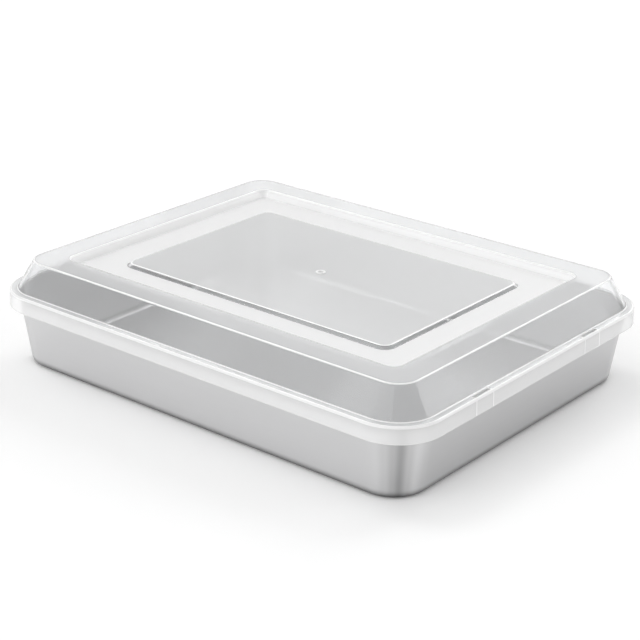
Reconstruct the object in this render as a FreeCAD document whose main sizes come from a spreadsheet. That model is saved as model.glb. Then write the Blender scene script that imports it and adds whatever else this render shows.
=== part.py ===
import FreeCAD, Part
import math
import os

import Sketcher
from FreeCAD import Placement, Rotation, Vector

# Cake pan with a clear clip-on lid, in millimetres.
# The origin is the middle of the pan's underside: X runs along the long side and Z points up.
# Every outline in plan is a rounded rectangle, given by how far it lies outside the pan's rim edge.

SIZES = {
    # The pan, drawn from one sheet
    "pan_length": (314.8, "over the rim's edge, along X"),
    "pan_width": (246.8, "over the rim's edge, along Y"),
    "pan_corner": (30.2, "plan radius of the rim's edge"),
    "pan_height": (47.1, "ground to the top of the rim"),
    "sheet_gauge": (0.7, "sheet thickness"),
    "wall_draft": (8.5, "lean of the walls, in degrees"),
    "base_fillet": (4.0, "outer radius from the walls to the base"),
    "rim_reach": (1.85, "wall's outer face, carried up to rim height, to the rim's edge"),
    "lip_bend": (1.1, "radius of the bend from the wall to the rim, on the food side"),
    "rim_roll": (1.1, "radius of the closed roll along the rim's edge"),
    # The lid's wall and skirt
    "lid_wall": (1.5, "moulded wall thickness"),
    "rim_clearance": (0.7, "rim's edge to the skirt's inner face, at the seat"),
    "corner_relief": (3.1, "how much further out the lid's corner centres lie than the pan's"),
    "skirt_drop": (8.9, "skirt below the seat"),
    "skirt_draft": (2.3, "lean of the skirt, in degrees"),
    "flange_width": (5.4, "skirt's lower edge to the foot of the dome"),
    "flange_round": (1.6, "radius of the flange's outer edge"),
    # The lid's dome, recess and centre panel
    "dome_rise": (17.8, "flange to plateau"),
    "dome_draft": (30.3, "lean of the dome's wall, in degrees"),
    "dome_foot_fillet": (1.5, "radius from the flange to the dome"),
    "dome_rim_round": (2.2, "radius from the dome to the plateau"),
    "plateau_width": (18.2, "dome's top edge to the recess"),
    "recess_depth": (5.5, "plateau to the recess floor"),
    "recess_draft": (26.0, "lean of the recess wall, in degrees"),
    "recess_corner": (6.5, "plan radius of the recess at its top edge"),
    "floor_ring_width": (21.1, "foot of the recess wall to the foot of the panel"),
    "panel_rise": (1.8, "recess floor to the centre panel"),
    "panel_draft": (53.7, "lean of the panel's wall, in degrees"),
    "panel_corner": (8.0, "plan radius of the panel at its foot"),
    "gate_diameter": (6.2, "outside of the gate ring at the panel's middle"),
    "gate_bore": (3.6, "inside of the gate ring"),
    "gate_height": (0.4, "height of the gate ring"),
    # The snap catches on the short sides and the slots that form them
    "catch_spacing": (111.0, "between the middles of the two catches on one side"),
    "catch_width": (15.5, "catch and slot along the side"),
    "catch_height": (4.2, "skirt's lower edge to the top of a catch"),
    "catch_slope": (0.5, "height of the slopes above and below a catch's face"),
    "catch_clearance": (0.3, "rim's edge to the face of a catch"),
    "slot_margin": (0.5, "flange left between the foot of the dome and a slot"),
}

HEIGHT_TOLERANCE = 1e-4

# Shared expressions: the rim's edge is offset zero
LID_CORNER = "(Sizes.pan_corner - Sizes.corner_relief)"
PLATEAU_TOP = "(Sizes.pan_height + Sizes.lid_wall + Sizes.dome_rise)"
PLATEAU_UNDERSIDE = "(Sizes.pan_height + Sizes.dome_rise)"
RECESS_FLOOR = f"({PLATEAU_TOP} - Sizes.recess_depth)"
RECESS_UNDERSIDE = f"({PLATEAU_UNDERSIDE} - Sizes.recess_depth)"
SKIRT_BOTTOM = "(Sizes.pan_height - Sizes.skirt_drop)"
SKIRT_WALL = "Sizes.lid_wall / cos(Sizes.skirt_draft)"
SKIRT_INSIDE = "(Sizes.rim_clearance + Sizes.skirt_drop * tan(Sizes.skirt_draft))"
SKIRT_OUTSIDE = f"({SKIRT_INSIDE} + {SKIRT_WALL})"
DOME_FOOT = f"({SKIRT_OUTSIDE} - Sizes.flange_width)"
DOME_TOP = f"({DOME_FOOT} - Sizes.dome_rise * tan(Sizes.dome_draft))"
RECESS_TOP = f"({DOME_TOP} - Sizes.plateau_width)"
RECESS_FOOT = f"({RECESS_TOP} - Sizes.recess_depth * tan(Sizes.recess_draft))"
PANEL_FOOT = f"({RECESS_FOOT} - Sizes.floor_ring_width)"


def make_sheet(doc):
    """Enter every driving size in the spreadsheet, one row each."""
    sheet = doc.addObject("Spreadsheet::Sheet", "Sizes")
    for row, (alias, (value, meaning)) in enumerate(SIZES.items(), start=1):
        sheet.set(f"A{row}", meaning)
        sheet.set(f"B{row}", str(value))
        sheet.setAlias(f"B{row}", alias)
    doc.recompute()
    return sheet


def origin_plane(body, role):
    """One of the body's own origin planes."""
    return next(feature for feature in body.Origin.OriginFeatures if feature.Role == role)


def new_sketch(body, name, role):
    """An empty sketch on one of the body's origin planes."""
    sketch = body.newObject("Sketcher::SketchObject", name)
    sketch.AttachmentSupport = (origin_plane(body, role), [""])
    sketch.MapMode = "FlatFace"
    return sketch


def dimension(sketch, name, constraint, expression):
    """Add a named dimension and bind it to the sheet."""
    index = sketch.addConstraint(constraint)
    sketch.renameConstraint(index, name)
    sketch.setExpression(f"Constraints.{name}", expression)


def outline(body, name, offset, corner, height):
    """Sketch a rounded rectangle that lies a given offset outside the pan's rim edge, at a height."""
    sketch = new_sketch(body, name, "XY_Plane")
    sketch.setExpression("AttachmentOffset.Base.z", height)
    half_length = SIZES["pan_length"][0] / 2
    half_width = SIZES["pan_width"][0] / 2
    radius = SIZES["pan_corner"][0]
    middle_x = half_length - radius
    middle_y = half_width - radius
    quarter = math.pi / 2
    corners = [(middle_x, middle_y), (-middle_x, middle_y), (-middle_x, -middle_y), (middle_x, -middle_y)]
    for turn, (x, y) in enumerate(corners):
        outward = Vector(math.cos(turn * quarter), math.sin(turn * quarter), 0)
        before = Vector(*corners[turn - 1], 0)
        centre = Vector(x, y, 0)
        sketch.addGeometry(Part.LineSegment(before + outward * radius, centre + outward * radius))
        circle = Part.Circle(centre, Vector(0, 0, 1), radius)
        sketch.addGeometry(Part.ArcOfCircle(circle, turn * quarter, (turn + 1) * quarter))
    count = 2 * len(corners)
    for side in range(count):
        sketch.addConstraint(Sketcher.Constraint("Tangent", side, 2, (side + 1) % count, 1))
    for turn, side in enumerate(range(0, count, 2)):
        sketch.addConstraint(Sketcher.Constraint("Horizontal" if turn % 2 else "Vertical", side))
    for arc in range(3, count, 2):
        sketch.addConstraint(Sketcher.Constraint("Equal", 1, arc))
    sketch.addConstraint(Sketcher.Constraint("Symmetric", 1, 3, 5, 3, -1, 1))
    dimension(sketch, "half_length", Sketcher.Constraint("DistanceX", -1, 1, 0, 1, half_length),
              f"Sizes.pan_length / 2 + {offset}")
    dimension(sketch, "half_width", Sketcher.Constraint("DistanceY", -1, 1, 2, 1, half_width),
              f"Sizes.pan_width / 2 + {offset}")
    dimension(sketch, "corner", Sketcher.Constraint("Radius", 1, radius), corner)
    return sketch


def extrude(body, kind, name, sketch, length, draft="0", downward=False):
    """Pad or pocket a sketch so that it narrows by the draft; a negative draft widens it."""
    feature = body.newObject(f"PartDesign::{kind}", name)
    feature.Profile = (sketch, [""])
    feature.setExpression("Length", length)
    feature.setExpression("TaperAngle", f"-({draft})")
    feature.Reversed = downward if kind == "Pad" else not downward
    body.Document.recompute()
    return feature


def checked_pocket(body, name, sketch, length, draft="0", downward=False):
    """Pocket a sketch and make sure that it took something away."""
    before = body.Tip.Shape.Volume
    feature = extrude(body, "Pocket", name, sketch, length, draft, downward)
    if feature.Shape.Volume >= before:
        raise RuntimeError(f"{name} cuts nothing")
    return feature


def edge_loops(shape, height):
    """Closed loops of level edges at one height, the outermost first, as lists of edge names."""
    level = {}
    for index, edge in enumerate(shape.Edges, start=1):
        if all(abs(vertex.Point.z - height) < HEIGHT_TOLERANCE for vertex in edge.Vertexes):
            level[f"Edge{index}"] = edge
    loops = []
    for chain in Part.sortEdges(list(level.values())):
        names = [name for name, edge in level.items() if any(edge.isSame(other) for other in chain)]
        loops.append((Part.Wire(chain).BoundBox.DiagonalLength, names))
    return [names for _, names in sorted(loops, reverse=True)]


def fillet(body, name, height, rank, radius):
    """Round one loop of level edges, found by its height and by its rank from outside."""
    base = body.Tip
    feature = body.newObject("PartDesign::Fillet", name)
    feature.Base = (base, edge_loops(base.Shape, height)[rank])
    feature.setExpression("Radius", radius)
    body.Document.recompute()
    return feature


def rim_section(body, sheet):
    """Sketch the rim's section: flat from inside the wall's thickness outward, ending in a closed roll."""
    sketch = new_sketch(body, "RimSection", "XZ_Plane")
    top = sheet.pan_height
    under = top - sheet.sheet_gauge
    rooted = sheet.pan_length / 2 - sheet.rim_reach - sheet.sheet_gauge / 2
    middle = sheet.pan_length / 2 - sheet.rim_roll
    bottom = top - 2 * sheet.rim_roll
    quarter = math.pi / 2
    roll = Part.Circle(Vector(middle, top - sheet.rim_roll, 0), Vector(0, 0, 1), sheet.rim_roll)
    rim_top, rolled, roll_end, rim_under, root = sketch.addGeometry([
        Part.LineSegment(Vector(rooted, top, 0), Vector(middle, top, 0)),
        Part.ArcOfCircle(roll, -quarter, quarter),
        Part.LineSegment(Vector(middle, bottom, 0), Vector(middle, under, 0)),
        Part.LineSegment(Vector(middle, under, 0), Vector(rooted, under, 0)),
        Part.LineSegment(Vector(rooted, under, 0), Vector(rooted, top, 0)),
    ])
    sketch.addConstraint([
        Sketcher.Constraint("Tangent", rim_top, 2, rolled, 2),
        Sketcher.Constraint("Coincident", rolled, 1, roll_end, 1),
        Sketcher.Constraint("Coincident", roll_end, 2, rim_under, 1),
        Sketcher.Constraint("Coincident", rim_under, 2, root, 1),
        Sketcher.Constraint("Coincident", root, 2, rim_top, 1),
        Sketcher.Constraint("Horizontal", rim_top),
        Sketcher.Constraint("Horizontal", rim_under),
        Sketcher.Constraint("Vertical", roll_end),
        Sketcher.Constraint("Vertical", root),
        Sketcher.Constraint("PointOnObject", rolled, 3, roll_end),
    ])
    dimension(sketch, "roll", Sketcher.Constraint("Radius", rolled, sheet.rim_roll), "Sizes.rim_roll")
    dimension(sketch, "gauge", Sketcher.Constraint("DistanceY", root, 1, root, 2, top - under),
              "Sizes.sheet_gauge")
    dimension(sketch, "edge", Sketcher.Constraint("DistanceX", -1, 1, rolled, 3, middle),
              "Sizes.pan_length / 2 - Sizes.rim_roll")
    dimension(sketch, "top", Sketcher.Constraint("DistanceY", -1, 1, rim_top, 1, top), "Sizes.pan_height")
    dimension(sketch, "root", Sketcher.Constraint("DistanceX", -1, 1, root, 1, rooted),
              "Sizes.pan_length / 2 - Sizes.rim_reach - Sizes.sheet_gauge / 2")
    return sketch


def make_pan(doc, sheet):
    """The drawn pan: drafted walls and a flat base, with the wall's top bent out to a rolled edge."""
    body = doc.addObject("PartDesign::Body", "Pan")
    body.Label = "pan"
    ground = "(-Sizes.rim_reach - Sizes.pan_height * tan(Sizes.wall_draft))"
    floor = (f"({ground} + Sizes.sheet_gauge * tan(Sizes.wall_draft)"
             " - Sizes.sheet_gauge / cos(Sizes.wall_draft))")

    base = outline(body, "BaseOutline", ground, f"Sizes.pan_corner + {ground}", "0")
    extrude(body, "Pad", "Tub", base, "Sizes.pan_height", "-Sizes.wall_draft")
    inside = outline(body, "FloorOutline", floor, f"Sizes.pan_corner + {floor}", "Sizes.sheet_gauge")
    checked_pocket(body, "Hollow", inside, "Sizes.pan_height - Sizes.sheet_gauge", "-Sizes.wall_draft")
    fillet(body, "FloorFillet", sheet.sheet_gauge, 0, "Sizes.base_fillet - Sizes.sheet_gauge")
    fillet(body, "BaseFillet", 0, 0, "Sizes.base_fillet")

    path = outline(body, "RimPath", "0", "Sizes.pan_corner", "Sizes.pan_height")
    section = rim_section(body, sheet)
    doc.recompute()
    rim = body.newObject("PartDesign::AdditivePipe", "RolledRim")
    rim.Profile = (section, [""])
    rim.Spine = (path, [f"Edge{number}" for number in range(1, len(path.Shape.Edges) + 1)])
    doc.recompute()
    fillet(body, "LipBend", sheet.pan_height, 1, "Sizes.lip_bend")
    return body


def make_lid(doc, sheet):
    """The moulded lid: skirt, flange, leaning dome, plateau, recess and raised centre panel."""
    body = doc.addObject("PartDesign::Body", "Lid")
    body.Label = "lid"

    def ring(name, offset, height):
        """An outline about the lid's own corner centres."""
        return outline(body, name, offset, f"{LID_CORNER} + {offset}", height)

    # Outer form: the skirt block with its flange, and the dome on top
    skirt = ring("SkirtOutline", SKIRT_OUTSIDE, SKIRT_BOTTOM)
    extrude(body, "Pad", "Skirt", skirt, "Sizes.skirt_drop + Sizes.lid_wall", "Sizes.skirt_draft")
    dome = ring("DomeOutline", DOME_FOOT, "Sizes.pan_height + Sizes.lid_wall")
    extrude(body, "Pad", "Dome", dome, "Sizes.dome_rise", "Sizes.dome_draft")

    # Inner form: one wall thickness inside the outer one
    skirt_inside = ring("SkirtHollowOutline", SKIRT_INSIDE, SKIRT_BOTTOM)
    checked_pocket(body, "SkirtHollow", skirt_inside, "Sizes.skirt_drop", "Sizes.skirt_draft")
    dome_inside = ring(
        "DomeHollowOutline",
        f"({DOME_FOOT} + Sizes.lid_wall * tan(Sizes.dome_draft) - Sizes.lid_wall / cos(Sizes.dome_draft))",
        "Sizes.pan_height")
    checked_pocket(body, "DomeHollow", dome_inside, "Sizes.dome_rise", "Sizes.dome_draft")

    # The recess: its tray hangs from the plateau, then its hollow is cut from above
    tray_offset = (f"({RECESS_TOP} - Sizes.lid_wall * tan(Sizes.recess_draft)"
                   " + Sizes.lid_wall / cos(Sizes.recess_draft))")
    tray = outline(body, "TrayOutline", tray_offset,
                   f"Sizes.recess_corner + {tray_offset} - {RECESS_TOP}", PLATEAU_UNDERSIDE)
    extrude(body, "Pad", "RecessTray", tray, "Sizes.recess_depth", "Sizes.recess_draft", downward=True)
    recess = outline(body, "RecessOutline", RECESS_TOP, "Sizes.recess_corner", PLATEAU_TOP)
    checked_pocket(body, "Recess", recess, "Sizes.recess_depth", "Sizes.recess_draft", downward=True)

    # The centre panel, raised from the recess floor and hollow below
    panel = outline(body, "PanelOutline", PANEL_FOOT, "Sizes.panel_corner", RECESS_FLOOR)
    extrude(body, "Pad", "Panel", panel, "Sizes.panel_rise", "Sizes.panel_draft")
    hollow_offset = (f"({PANEL_FOOT} + Sizes.lid_wall * tan(Sizes.panel_draft)"
                     " - Sizes.lid_wall / cos(Sizes.panel_draft))")
    hollow = outline(body, "PanelHollowOutline", hollow_offset,
                     f"Sizes.panel_corner + {hollow_offset} - {PANEL_FOOT}", RECESS_UNDERSIDE)
    checked_pocket(body, "PanelHollow", hollow, "Sizes.panel_rise", "Sizes.panel_draft")

    round_lid_edges(body, sheet)
    add_gate_ring(body)
    add_catches(body, sheet)
    return body


def round_lid_edges(body, sheet):
    """Round the lid's main outer edges."""
    flange_top = sheet.pan_height + sheet.lid_wall
    fillet(body, "DomeFoot", flange_top, 1, "Sizes.dome_foot_fillet")
    fillet(body, "FlangeEdge", flange_top, 0, "Sizes.flange_round")
    fillet(body, "DomeRim", flange_top + sheet.dome_rise, 0, "Sizes.dome_rim_round")


def add_gate_ring(body):
    """The small round gate mark in the middle of the centre panel."""
    sketch = new_sketch(body, "GateOutline", "XY_Plane")
    sketch.setExpression("AttachmentOffset.Base.z", f"{RECESS_FLOOR} + Sizes.panel_rise")
    for index, (name, alias) in enumerate((("outside", "gate_diameter"), ("inside", "gate_bore"))):
        radius = SIZES[alias][0] / 2
        sketch.addGeometry(Part.Circle(Vector(0, 0, 0), Vector(0, 0, 1), radius))
        sketch.addConstraint(Sketcher.Constraint("Coincident", index, 3, -1, 1))
        dimension(sketch, name, Sketcher.Constraint("Radius", index, radius), f"Sizes.{alias} / 2")
    extrude(body, "Pad", "GateRing", sketch, "Sizes.gate_height")


def closed_polygon(sketch, points):
    """Draw straight edges through the points and join their ends."""
    count = len(points)
    for index, point in enumerate(points):
        sketch.addGeometry(Part.LineSegment(Vector(*point, 0), Vector(*points[(index + 1) % count], 0)))
    for index in range(count):
        sketch.addConstraint(Sketcher.Constraint("Coincident", index, 2, (index + 1) % count, 1))


def repeat_on_four(body, name, feature):
    """Repeat a feature on the other half of its side and on the opposite side."""
    repeat = body.newObject("PartDesign::MultiTransform", name)
    mirrors = []
    for role in ("XZ_Plane", "YZ_Plane"):
        mirror = body.newObject("PartDesign::Mirrored", f"{name}{role[:2]}")
        mirror.MirrorPlane = (origin_plane(body, role), [""])
        mirrors.append(mirror)
    repeat.Originals = [feature]
    repeat.Transformations = mirrors
    body.Tip = repeat
    body.Document.recompute()
    return repeat


def add_catches(body, sheet):
    """Two snap catches inside each short side, each under the slot that lets it be moulded."""
    # A slot through the flange, from near the foot of the dome to the skirt's inner face
    slot_inner = f"Sizes.pan_length / 2 + {DOME_FOOT} + Sizes.slot_margin"
    slot_outer = "Sizes.pan_length / 2 + Sizes.rim_clearance"
    near_side = "Sizes.catch_spacing / 2 - Sizes.catch_width / 2"
    half_length = sheet.pan_length / 2
    near = (sheet.catch_spacing - sheet.catch_width) / 2
    far = near + sheet.catch_width
    slot = new_sketch(body, "SlotOutline", "XY_Plane")
    slot.setExpression("AttachmentOffset.Base.z", "Sizes.pan_height + Sizes.lid_wall")
    inner = half_length - sheet.lid_wall
    closed_polygon(slot, [(inner, near), (half_length, near), (half_length, far), (inner, far)])
    for side in (0, 2):
        slot.addConstraint(Sketcher.Constraint("Horizontal", side))
    for side in (1, 3):
        slot.addConstraint(Sketcher.Constraint("Vertical", side))
    dimension(slot, "inner", Sketcher.Constraint("DistanceX", -1, 1, 0, 1, inner), slot_inner)
    dimension(slot, "outer", Sketcher.Constraint("DistanceX", -1, 1, 0, 2, half_length), slot_outer)
    dimension(slot, "near", Sketcher.Constraint("DistanceY", -1, 1, 0, 1, near), near_side)
    dimension(slot, "width", Sketcher.Constraint("DistanceY", 1, 1, 1, 2, far - near), "Sizes.catch_width")
    cut = checked_pocket(body, "Slot", slot, "Sizes.lid_wall", downward=True)
    repeat_on_four(body, "Slots", cut)

    # A catch: a ledge on the skirt's inner face with a lead-in below and a slope above
    profile = new_sketch(body, "CatchProfile", "XZ_Plane")
    profile.setExpression("AttachmentOffset.Base.z", f"-({near_side})")
    face = half_length + sheet.catch_clearance
    rooted = face + sheet.lid_wall
    slope = sheet.catch_slope
    bottom = sheet.pan_height - sheet.skirt_drop
    top = bottom + sheet.catch_height
    closed_polygon(profile, [(face, bottom + slope), (rooted, bottom), (rooted, top), (face, top - slope)])
    profile.addConstraint(Sketcher.Constraint("Vertical", 1))
    profile.addConstraint(Sketcher.Constraint("Vertical", 3))
    dimension(profile, "face", Sketcher.Constraint("DistanceX", -1, 1, 0, 1, face),
              "Sizes.pan_length / 2 + Sizes.catch_clearance")
    dimension(profile, "root", Sketcher.Constraint("DistanceX", -1, 1, 1, 1, rooted),
              f"Sizes.pan_length / 2 + ({SKIRT_INSIDE} + {SKIRT_OUTSIDE}) / 2")
    dimension(profile, "bottom", Sketcher.Constraint("DistanceY", -1, 1, 1, 1, bottom), SKIRT_BOTTOM)
    dimension(profile, "lead", Sketcher.Constraint("DistanceY", 0, 2, 0, 1, slope), "Sizes.catch_slope")
    dimension(profile, "height", Sketcher.Constraint("DistanceY", 1, 1, 1, 2, top - bottom),
              "Sizes.catch_height")
    dimension(profile, "slope", Sketcher.Constraint("DistanceY", 2, 2, 2, 1, slope), "Sizes.catch_slope")
    catch = extrude(body, "Pad", "Catch", profile, "Sizes.catch_width")
    repeat_on_four(body, "Catches", catch)


def check(doc):
    """Stop if any object failed or a finished piece isn't a sound solid."""
    for thing in doc.Objects:
        if any(state in ("Invalid", "Error") for state in thing.State):
            raise RuntimeError(f"{thing.Label} failed: {thing.State}")
        if thing.isDerivedFrom("Sketcher::SketchObject") and thing.solve() != 0:
            raise RuntimeError(f"{thing.Label} isn't solved")
    for body in doc.findObjects("PartDesign::Body"):
        if body.Shape.isNull() or not body.Shape.isValid() or len(body.Shape.Solids) != 1:
            raise RuntimeError(f"{body.Label} isn't one sound solid")


def main():
    """Build both pieces, check them and write each to its own file."""
    doc = FreeCAD.newDocument("CakePan")
    sheet = make_sheet(doc)
    pieces = [make_pan(doc, sheet), make_lid(doc, sheet)]
    for piece in pieces:
        piece.Placement = Placement(Vector(0, 0, 0), Rotation())
    doc.recompute()
    check(doc)
    os.makedirs("parts", exist_ok=True)
    for piece in pieces:
        piece.Shape.exportStep(f"parts/{piece.Label}.step")
        box = piece.Shape.optimalBoundingBox(True)
        print(f"{piece.Label}: {box.XLength:.2f} x {box.YLength:.2f} x {box.ZMin:.2f} to {box.ZMax:.2f} mm, "
              f"{piece.Shape.Volume / 1000:.1f} cm3, {len(piece.Shape.Faces)} faces")


main()
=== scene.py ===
"""A rectangular cake pan with its clear clip-on lid, set on a pale studio floor.

Both pieces are swept round rounded rectangles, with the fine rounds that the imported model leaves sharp.
Lengths are metres, angles are degrees, and +Z is up.
"""

import logging
import math
from dataclasses import dataclass, field, replace
from enum import Enum

import bpy
from mathutils import Matrix, Vector


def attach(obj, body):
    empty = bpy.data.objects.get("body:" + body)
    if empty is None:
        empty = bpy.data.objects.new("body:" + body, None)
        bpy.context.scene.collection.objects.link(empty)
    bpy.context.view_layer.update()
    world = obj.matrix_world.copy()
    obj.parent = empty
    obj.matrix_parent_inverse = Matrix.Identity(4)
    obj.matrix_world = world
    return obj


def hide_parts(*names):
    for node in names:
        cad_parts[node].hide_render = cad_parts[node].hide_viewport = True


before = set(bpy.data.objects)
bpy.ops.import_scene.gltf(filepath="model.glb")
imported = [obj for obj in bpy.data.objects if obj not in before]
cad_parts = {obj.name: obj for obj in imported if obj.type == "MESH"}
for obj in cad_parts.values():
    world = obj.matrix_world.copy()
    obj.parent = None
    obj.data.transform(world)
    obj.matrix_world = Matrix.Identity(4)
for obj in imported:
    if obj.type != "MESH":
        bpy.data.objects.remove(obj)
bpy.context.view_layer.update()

log = logging.getLogger("cake_pan")

IMAGE_PIXELS = 640
MM = 0.001
ROUND_STEP = math.radians(8)  # largest turn between two rows of a round

Colour = tuple[float, float, float]
Socket = bpy.types.NodeSocket


class Ray(Enum):
    """Kinds of ray that a shader can tell apart, by the name of the Light Path output."""

    CAMERA = "Is Camera Ray"
    GLOSSY = "Is Glossy Ray"
    TRANSMISSION = "Is Transmission Ray"
    SHADOW = "Is Shadow Ray"


SEEING_RAYS = (Ray.CAMERA, Ray.GLOSSY, Ray.TRANSMISSION)


@dataclass
class Graph:
    """A node tree with short calls for adding and joining nodes.

    Args:
        tree: the tree that the nodes go into.
    """

    tree: bpy.types.NodeTree

    def add(self, kind: str, **settings: object) -> bpy.types.Node:
        """Add a node and set its properties.

        Args:
            kind: the node's class name.
            settings: properties of the node by name.

        Returns:
            The new node.
        """
        node = self.tree.nodes.new(kind)
        for name, value in settings.items():
            setattr(node, name, value)
        return node

    def feed(self, socket: Socket, value: object) -> None:
        """Join a value to an input: another node's output is linked, anything else is set.

        Args:
            socket: the input.
            value: the output, number, name or colour.
        """
        if isinstance(value, bpy.types.NodeSocket):
            self.tree.links.new(value, socket)
        elif isinstance(value, tuple) and len(value) == 3 and socket.type == "RGBA":
            socket.default_value = (*value, 1.0)
        else:
            socket.default_value = value

    def maths(self, operation: str, *values: object, clamp: bool = False) -> Socket:
        """Add a Math node.

        Args:
            operation: the node's operation.
            values: its inputs, in order.
            clamp: whether the result is kept between 0 and 1.

        Returns:
            The result's socket.
        """
        node = self.add("ShaderNodeMath", operation=operation, use_clamp=clamp)
        for socket, value in zip(node.inputs, values):
            self.feed(socket, value)
        return node.outputs["Value"]

    def between(self, value: Socket, start: tuple[float, float], end: tuple[float, float]) -> Socket:
        """Map a value from one range to another with a smooth step.

        Args:
            value: what is mapped.
            start: the range's start, and the result there.
            end: the range's end, and the result there.

        Returns:
            The result's socket.
        """
        node = self.add("ShaderNodeMapRange", interpolation_type="SMOOTHSTEP")
        given = {
            "Value": value, "From Min": start[0], "To Min": start[1], "From Max": end[0], "To Max": end[1]}
        for name, number in given.items():
            self.feed(node.inputs[name], number)
        return node.outputs["Result"]

    def place(self, group: bpy.types.NodeTree, **values: object) -> bpy.types.Node:
        """Place a node group with its own input values.

        Args:
            group: the group's tree.
            values: inputs by name, with underscores for spaces.

        Returns:
            The group's node.
        """
        node = self.add("ShaderNodeGroup", node_tree=group)
        for name, value in values.items():
            self.feed(node.inputs[name.replace("_", " ")], value)
        return node

    def any_ray(self, rays: tuple[Ray, ...]) -> Socket:
        """A mask that is 1 for the given kinds of ray and 0 for the rest.

        Args:
            rays: the kinds of ray.

        Returns:
            The mask's socket.
        """
        path = self.add("ShaderNodeLightPath")
        mask = path.outputs[rays[0].value]
        for ray in rays[1:]:
            mask = self.maths("MAXIMUM", mask, path.outputs[ray.value])
        return mask


def new_group(
    name: str, inputs: dict[str, tuple[str, object]], outputs: dict[str, str],
) -> tuple[Graph, dict[str, Socket], dict[str, Socket]]:
    """Start a shader node group with named sockets.

    Args:
        name: the group's name.
        inputs: socket type and default by input name.
        outputs: socket type by output name.

    Returns:
        The group's graph, its input sockets and its output sockets, by name.
    """
    tree = bpy.data.node_groups.new(name, "ShaderNodeTree")
    for label, (kind, default) in inputs.items():
        socket = tree.interface.new_socket(label, in_out="INPUT", socket_type=kind)
        if default is not None:
            socket.default_value = default
    for label, kind in outputs.items():
        tree.interface.new_socket(label, in_out="OUTPUT", socket_type=kind)
    graph = Graph(tree)
    entry = graph.add("NodeGroupInput")
    leave = graph.add("NodeGroupOutput")
    return graph, {s.name: s for s in entry.outputs if s.name}, {s.name: s for s in leave.inputs if s.name}


def new_material(name: str) -> tuple[bpy.types.Material, Graph, bpy.types.Node]:
    """Start a material.

    Args:
        name: the material's name.

    Returns:
        The material, its graph and its surface shader.
    """
    material = bpy.data.materials.new(name)
    material.use_nodes = True
    return material, Graph(material.node_tree), material.node_tree.nodes["Principled BSDF"]


def handling_group() -> bpy.types.NodeTree:
    """Faint wear from handling: broad smudges and fine specks, as one value about zero.

    Returns:
        A group with the inputs Vector, Smudge Scale, Speck Scale and Amount, and the output Variation.
    """
    graph, entry, leave = new_group(
        "Handling marks",
        {"Vector": ("NodeSocketVector", None), "Smudge Scale": ("NodeSocketFloat", 20.0),
         "Speck Scale": ("NodeSocketFloat", 900.0), "Amount": ("NodeSocketFloat", 0.05)},
        {"Variation": "NodeSocketFloat"})
    total = None
    for scale, detail, share in (("Smudge Scale", 3.0, 0.7), ("Speck Scale", 1.0, 0.3)):
        noise = graph.add("ShaderNodeTexNoise")
        graph.feed(noise.inputs["Vector"], entry["Vector"])
        graph.feed(noise.inputs["Scale"], entry[scale])
        graph.feed(noise.inputs["Detail"], detail)
        centred = graph.maths("SUBTRACT", noise.outputs["Fac"], 0.5)
        part = graph.maths("MULTIPLY", centred, share * 2)
        total = part if total is None else graph.maths("ADD", total, part)
    graph.feed(leave["Variation"], graph.maths("MULTIPLY", total, entry["Amount"]))
    return graph.tree


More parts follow.
